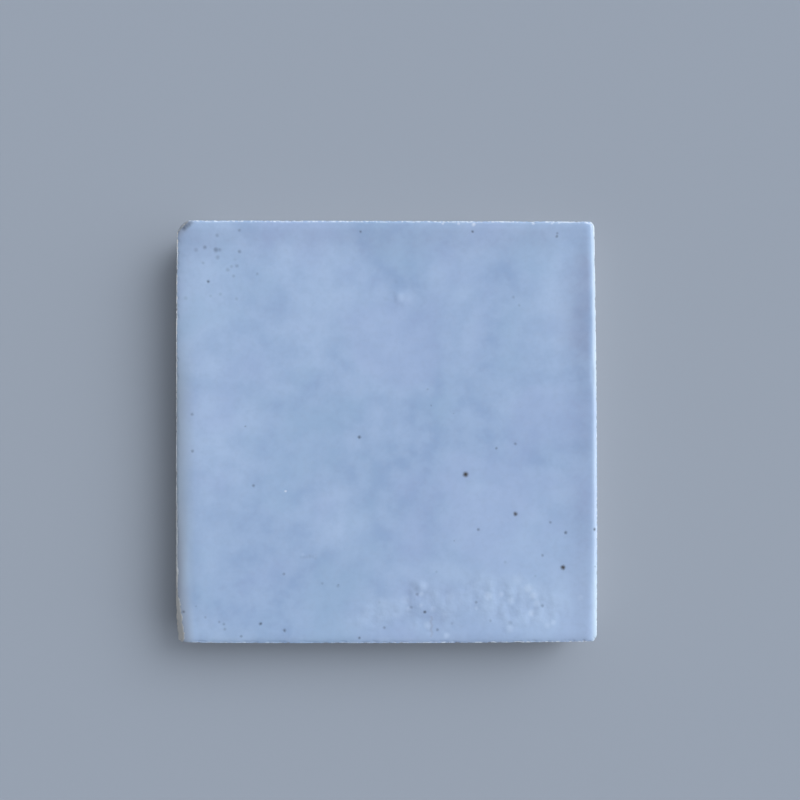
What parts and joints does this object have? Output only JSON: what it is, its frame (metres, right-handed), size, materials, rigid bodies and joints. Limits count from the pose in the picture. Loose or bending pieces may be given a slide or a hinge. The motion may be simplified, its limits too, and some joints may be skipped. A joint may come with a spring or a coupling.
{
  "type": "square wall tile",
  "caption": "Square hand-made wall tile: a glossy glazed face that rolls over its edges, bare clay sides that lean in, and a flat back for adhesive.",
  "frame": {"origin": "middle of the tile's bounding box on the level of its flat back", "axes": "+Z out of the glazed face, +X along the near edge to the right, +Y from the near edge to the far one"},
  "size_m": [0.1, 0.1, 0.01],
  "materials": {
    "glazed_clay": "gloss"
  },
  "bodies": {
    "root": {"glazed_tile": "glazed_clay"}
  },
  "joints": []
}
